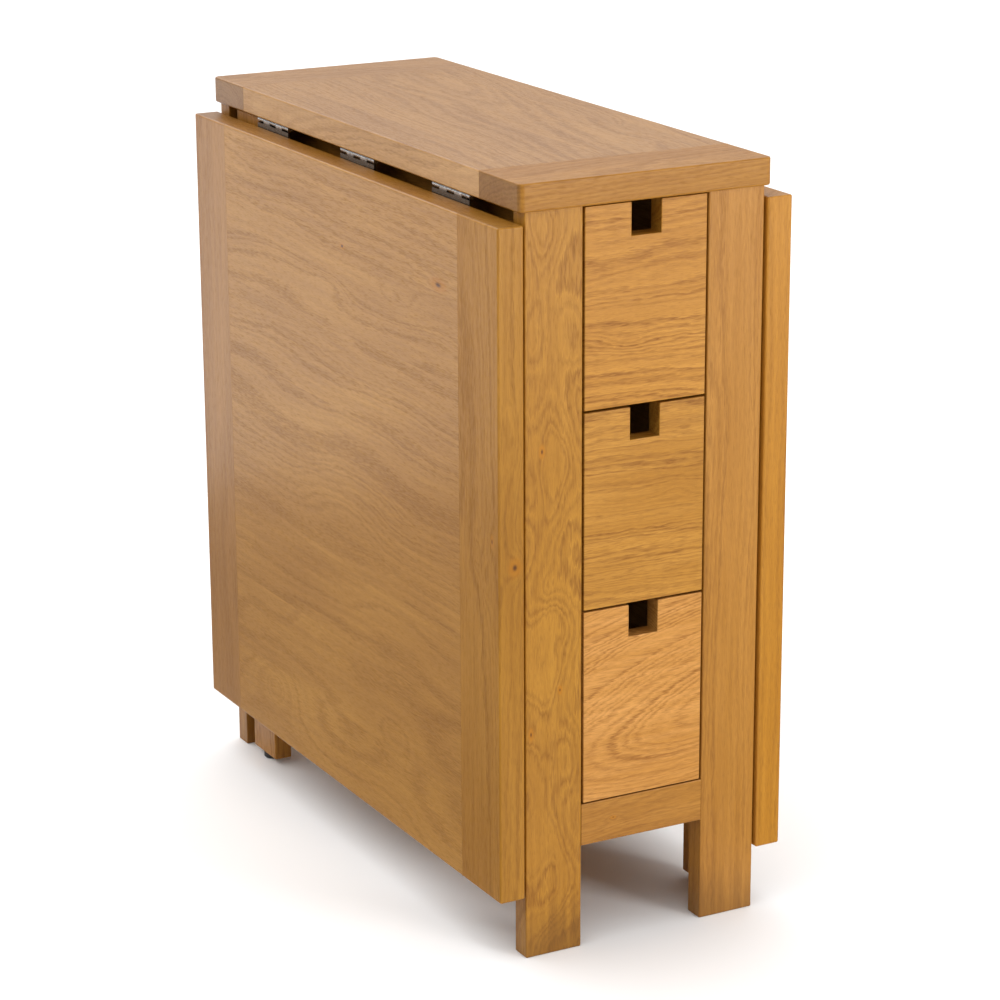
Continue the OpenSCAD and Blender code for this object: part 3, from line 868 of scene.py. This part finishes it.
@dataclass
class Case:
    """The fixed frame: four legs, rails, sides, floor, back panel and the drawers' runners."""

    ease: float = 1.6
    slab_underside: float = 733.0
    leg_inner_x: float = 67.5
    leg_inner_y: float = 317.5
    foot: float = 60.0

    def legs(self) -> tuple[Board, ...]:
        """Describes the four fixed legs.

        Returns:
            Their boards.
        """
        under = ((2, self.slab_underside),)
        front_left = Board(
            "leg_front_left", Grain.UPRIGHT_FACE_Y, foot=self.foot, pith=(-20.0, 44.0), tilt=(0.03, 0.05), ring=8.0,
            sway=70.0, waves=(84.0, 40.0, 60.0), ripple=6.0, tone_and_painted_light=(1.02, 1.04, 0.68), contrast=1.15, ease=self.ease,
            seams=under,
            knots=(
                Knot((-102.1, -339.5, 373.0), 17.0, 24.0, 0.0, 1.5),
                Knot((-110.6, -339.5, 506.6), 7.0, 8.0, 0.9, 2.2),
                Knot((-96.8, -339.5, 316.0), 15.0, 17.0, 0.0, 1.8),
                Knot((-122.7, -339.5, 229.9), 5.0, 5.0, 0.8, 2.4),
                Knot((-91.3, -339.5, 269.5), 5.0, 6.0, 0.7, 2.0),
                Knot((-102.1, -339.5, 6.0), 26.0, 34.0, 0.0, 2.0),
            ),
        )
        front_right = Board(
            "leg_front_right", Grain.UPRIGHT_FACE_Y, foot=self.foot, pith=(-50.0, 46.0), tilt=(0.03, 0.02), ring=5.0,
            sway=14.0, ripple=3.0, ease=self.ease, seams=under, contrast=0.75,
        )
        back_left = Board(
            "leg_back_left", Grain.UPRIGHT_FACE_Y, foot=self.foot, pith=(30.0, -60.0), tilt=(0.02, 0.03), ring=3.8,
            ease=self.ease, seams=under, knots=(Knot((-95.0, 339.5, 520.0), 12.0, 14.0, 1.0, 2.0),),
        )
        back_right = Board(
            "leg_back_right", Grain.UPRIGHT_FACE_Y, foot=self.foot, pith=(-14.0, -52.0), tilt=(0.01, 0.04), ring=4.0,
            ease=self.ease, seams=under,
        )
        return front_left, front_right, back_left, back_right

    def rails(self) -> tuple[Board, ...]:
        """Describes the rails that tie the legs together.

        Returns:
            Their boards.
        """
        cross = ((0, -self.leg_inner_x), (0, self.leg_inner_x))
        long = ((1, -self.leg_inner_y), (1, self.leg_inner_y))
        across = [
            # Painted shade: the front rail's top and bottom faces are painted darker.
            Board("front_rail", Grain.ALONG_X_FACE_Y, pith=(30.0, 55.0), ring=3.2, sway=8.0, ease=1.2, seams=cross,
                  contrast=0.75, rim=(0.55, 0.50, 0.45),
                  knots=(Knot((-32.0, -339.5, 128.0), 6.0, 5.0, 0.5, 2.0),)),
            Board("back_lower_rail", Grain.ALONG_X_FACE_Y, pith=(-40.0, -50.0), ring=3.4, sway=8.0, ease=1.2,
                  seams=cross),
            Board("back_upper_rail", Grain.ALONG_X_FACE_Y, pith=(36.0, -60.0), ring=3.2, sway=8.0, ease=1.2,
                  seams=cross),
        ]
        lengthwise = [
            Board(f"{level}_rail_{side.value}", Grain.ALONG_Y_FACE_X, pith=(24.0, -side.sign * 60.0), ring=3.6,
                  ease=1.2, seams=long)
            for level in ("upper", "lower")
            for side in Side
        ]
        return (*across, *lengthwise)

    def inside(self) -> tuple[Board, ...]:
        """Describes the panels, the runners and the stops, which have plain edges.

        Returns:
            Their boards.
        """
        return (
            Board("back_panel", Grain.UPRIGHT_FACE_Y, pith=(10.0, -80.0), ring=4.6, ease=0.0),
            *(Board(f"case_side_{side.value}", Grain.ALONG_Y_FACE_X, pith=(40.0, -side.sign * 90.0), ring=4.6,
                    sway=34.0, ease=0.0) for side in Side),
            Board("case_floor", Grain.ALONG_Y_FACE_Z, pith=(20.0, 80.0), ring=4.0, ease=0.0),
            Board("drawer_runners", Grain.ALONG_Y_FACE_X, ring=3.0, ease=0.0),
            Board("drawer_stops", Grain.ALONG_Y_FACE_X, ring=3.0, ease=0.0),
        )

    def dress(self, oak: OakFinish) -> None:
        """Dresses the frame.

        Args:
            oak: The finish.
        """
        dress_boards(oak, self.legs() + self.rails() + self.inside())


@dataclass
class Gate:
    """A folding gate: a pivoted stile, a free leg with its glide, and two cross rails."""

    side: Side
    ease: float = 1.5

    def dress(self, oak: OakFinish, plastic: bpy.types.Material) -> None:
        """Dresses the gate.

        Args:
            oak: The finish of the wood.
            plastic: The material of the glide.
        """
        name = f"gate_{self.side.value}"
        inward = -self.side.sign
        uprights = [
            Board(f"{name}_{upright}", Grain.UPRIGHT_FACE_X, pith=(26.0 * inward, inward * 52.0), ring=3.8,
                  sway=16.0, ease=self.ease)
            for upright in ("stile", "free_leg")
        ]
        rails = [
            Board(f"{name}_{level}_rail", Grain.ALONG_Y_FACE_X, pith=(30.0, inward * 56.0), ring=3.4, ease=1.0)
            for level in ("upper", "lower")
        ]
        dress_boards(oak, (*uprights, *rails))
        dress(f"{name}_glide", plastic)


@dataclass
class DrawerStack:
    """Three drawers: thick fronts with a finger notch, on plain boxes."""

    ease: float = 1.0
    # Painted shade on the fronts' top and bottom faces, in the finger notch and the gaps.
    edges: Triple = (0.72, 0.66, 0.60)

    def fronts(self) -> dict[str, Board]:
        """Describes the three fronts.

        Returns:
            Their boards, by drawer.
        """
        along = Grain.ALONG_X_FACE_Y
        # Painted light: the fronts are lightened, the lower one most and bluer.
        return {
            "upper": Board(
                "upper_drawer_front", along, pith=(120.0, 70.0), tilt=(-0.05, 0.05), ring=6.4, sway=34.0,
                ripple=8.0, tone_and_painted_light=(1.19, 1.22, 1.10), rim=self.edges, contrast=1.3, ease=self.ease,
                knots=(Knot((-20.0, -339.5, 600.0), 14.0, -14.0, stretch=3.2),),
            ),
            "middle": Board(
                "middle_drawer_front", along, pith=(130.0, 64.0), tilt=(-0.02, 0.04), ring=4.8, sway=30.0,
                ripple=6.0, tone_and_painted_light=(1.18, 1.25, 1.20), rim=self.edges, contrast=1.3, ease=self.ease,
                knots=(Knot((36.0, -339.5, 452.0), 12.0, 9.0, stretch=3.0),),
            ),
            "lower": Board(
                "lower_drawer_front", along, pith=(-34.5, 22.0), tilt=(0.19, -0.30), ring=5.0, sway=12.0,
                ripple=3.5, tone_and_painted_light=(1.42, 1.52, 2.4), rim=self.edges, contrast=1.3, ease=self.ease,
            ),
        }

    def dress(self, oak: OakFinish, plain: OakFinish) -> None:
        """Dresses the drawers.

        Args:
            oak: The finish of the fronts.
            plain: The finish of the boxes.
        """
        fronts = self.fronts()
        dress_boards(oak, tuple(fronts.values()))
        for level in fronts:
            box = (
                Board(f"{level}_drawer_sides", Grain.ALONG_Y_FACE_X, ring=3.2, ease=0.0, contrast=0.6),
                Board(f"{level}_drawer_back", Grain.ALONG_X_FACE_Y, ring=3.2, ease=0.0, contrast=0.6),
                Board(f"{level}_drawer_base", Grain.ALONG_X_FACE_Z, pith=(10.0, 90.0), ring=6.0, ease=0.0,
                      contrast=0.5),
            )
            dress_boards(plain, box)


@dataclass
class Hardware:
    """The hinges with their pins and screws, and the gates' pivots."""

    def dress(self, steel: SteelFinish, oak: OakFinish) -> None:
        """Dresses the metal, and the blocks that hold the pivots.

        Args:
            steel: The finish of the metal.
            oak: The finish of the pivot blocks.
        """
        for side in Side:
            pins = f"leaf_{side.value}_hinge_pins"
            hinge = steel.dress(pins)
            for node in (f"slab_flaps_{side.value}", f"leaf_{side.value}_flaps", f"leaf_{side.value}_screws", pins):
                dress(node, hinge)
        plain = steel.dress("gate_pivot_pins")
        for node in ("gate_pivot_pins", "slab_hinge_screws"):
            dress(node, plain)
        dress_boards(oak, (Board("gate_pivot_blocks", Grain.ALONG_Y_FACE_X, ring=3.2, ease=0.0),))


@dataclass(frozen=True)
class Card:
    """A dark card that lies on the floor, for the gloss."""

    name: str
    across: tuple[float, float]
    """Its left and right edge, in metres."""
    length: tuple[float, float]
    """Its front and back edge, in metres."""


@dataclass
class Studio:
    """Pale floor, soft light and the camera."""

    azimuth: float = -28.325
    elevation: float = 16.811
    roll: float = -0.266
    distance: float = 3174.1
    target: Triple = (-62.69, -168.45, 408.14)
    lens: float = 116.2
    sensor: float = 36.0
    floor_half: float = 120.0
    floor_tone: Triple = (0.96, 0.96, 0.96)
    sky_low: float = 0.12
    sky_high: float = 1.50
    sky_back: float = 0.90
    sky_lean: tuple[float, float] = (-0.32, 0.35)
    key_place: Triple = (1.5, -3.4, 0.95)
    key_size: float = 1.1
    key_power: float = 66.0
    key_aim: Triple = (0.0, -0.2, 0.4)
    cards: tuple[Card, ...] = (
        Card("card_right", (0.2, 1.7), (-2.6, 0.35)),
        Card("card_left_near", (-0.7, -0.2), (-1.5, 1.3)),
        Card("card_left_far", (-1.4, -0.7), (-1.5, 1.15)),
    )
    card_tone: Triple = (0.38, 0.35, 0.31)
    card_lift: float = 0.002

    def build(self) -> None:
        """Makes the floor, the light and the camera."""
        self.build_floor()
        self.build_cards()
        self.build_light()
        self.build_camera()

    def build_floor(self) -> None:
        """Makes the floor, a wide flat sheet."""
        half = self.floor_half
        corners = [(-half, -half, 0.0), (half, -half, 0.0), (half, half, 0.0), (-half, half, 0.0)]
        mesh = bpy.data.meshes.new("floor")
        mesh.from_pydata(corners, [], [(0, 1, 2, 3)])
        floor = bpy.data.objects.new("floor", mesh)
        bpy.context.scene.collection.objects.link(floor)
        graph = Graph.named("floor_paint")
        grain = graph.noise(graph.here(), (4.0, 4.0, 4.0), 1.0)
        sockets = {"Base Color": (*self.floor_tone, 1.0), "Roughness": 0.9, "Specular IOR Level": 0.1}
        mesh.materials.append(graph.finish(sockets, grain, 0.01, 0.05))

    def build_cards(self) -> None:
        """Makes the dark cards at both sides, which only the table's own surfaces see."""
        graph = Graph.named("card")
        face = graph.node("ShaderNodeBsdfDiffuse", {}, {"Color": (*self.card_tone, 1.0)})
        clear = graph.node("ShaderNodeBsdfTransparent")
        under = graph.node("ShaderNodeNewGeometry", output="Backfacing")
        paper = graph.node("ShaderNodeMixShader", {}, {0: under, 1: face, 2: clear})
        graph.node("ShaderNodeOutputMaterial", {}, {"Surface": paper})
        for sheet in self.cards:
            (left, right), (front, back) = sheet.across, sheet.length
            corners = [(left, front), (right, front), (right, back), (left, back)]
            mesh = bpy.data.meshes.new(sheet.name)
            mesh.from_pydata([(x, y, self.card_lift) for x, y in corners], [], [(0, 1, 2, 3)])
            mesh.materials.append(graph.owner)
            card = bpy.data.objects.new(mesh.name, mesh)
            card.visible_camera = False
            card.visible_shadow = False
            bpy.context.scene.collection.objects.link(card)

    def build_light(self) -> None:
        """Makes the soft surroundings and the key light."""
        scene = bpy.context.scene
        scene.world = bpy.data.worlds.new("surroundings")
        graph = Graph(scene.world)
        toward = graph.split(graph.node("ShaderNodeTexCoord", output="Generated"))
        rise = toward["Z"].ramp(0.15, 0.80) * (self.sky_high - self.sky_low) + self.sky_low
        dome = rise * (toward["X"] * self.sky_lean[0] + toward["Y"] * self.sky_lean[1] + 1.0)
        sweep = toward["Y"].ramp(0.1, 0.7) * toward["Z"].ramp(0.14, 0.31) * self.sky_back
        white = (1.0, 1.0, 1.0, 1.0)
        sky = graph.node("ShaderNodeBackground", {}, {"Color": white, "Strength": dome + sweep})
        plain = graph.node("ShaderNodeBackground", {}, {"Color": white, "Strength": 1.0})
        seen = graph.node("ShaderNodeLightPath", output="Is Camera Ray")
        mixed = graph.node("ShaderNodeMixShader", {}, {0: seen, 1: sky, 2: plain})
        graph.node("ShaderNodeOutputWorld", {}, {"Surface": mixed})
        lamp = bpy.data.lights.new("key", "AREA")
        lamp.shape = "SQUARE"
        lamp.size = self.key_size
        lamp.energy = self.key_power
        key = bpy.data.objects.new("key", lamp)
        key.location = self.key_place
        key.rotation_mode = "QUATERNION"
        aim = Vector(self.key_aim) - key.location
        key.rotation_quaternion = aim.to_track_quat("-Z", "Y")
        scene.collection.objects.link(key)
        scene.view_settings.view_transform = "Standard"

    def build_camera(self) -> None:
        """Makes the camera."""
        azimuth, elevation = math.radians(self.azimuth), math.radians(self.elevation)
        flat = math.cos(elevation)
        back = Vector((math.sin(azimuth) * flat, -math.cos(azimuth) * flat, math.sin(elevation)))
        lens = bpy.data.cameras.new("camera")
        lens.lens = self.lens
        lens.sensor_width = self.sensor
        camera = bpy.data.objects.new("camera", lens)
        camera.location = (Vector(self.target) + back * self.distance) * MM
        camera.rotation_mode = "QUATERNION"
        turn = (-back).to_track_quat("-Z", "Y")
        camera.rotation_quaternion = Quaternion(back, math.radians(self.roll)) @ turn
        bpy.context.scene.collection.objects.link(camera)
        bpy.context.scene.camera = camera


def main() -> None:
    """Dresses every piece and sets the stage."""
    logging.basicConfig(level=logging.INFO, format="%(message)s")
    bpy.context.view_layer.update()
    Studio().build()
    oak = OakFinish()
    plain = OakFinish(
        pale=(0.74, 0.52, 0.27), deep=(0.62, 0.41, 0.19), ring_line=(0.42, 0.25, 0.10), coat=0.0, roughness=0.55
    )
    steel = SteelFinish()
    plastic = PlasticFinish().dress()
    polished = replace(oak, gloss=0.35, coat=0.28)
    Slab().dress(oak, polished)
    for side in Side:
        Leaf(side).dress(oak, polished)
        Gate(side).dress(oak, plastic)
    Case().dress(oak)
    DrawerStack().dress(oak, plain)
    Hardware().dress(steel, oak)


if __name__ == "__main__":
    main()
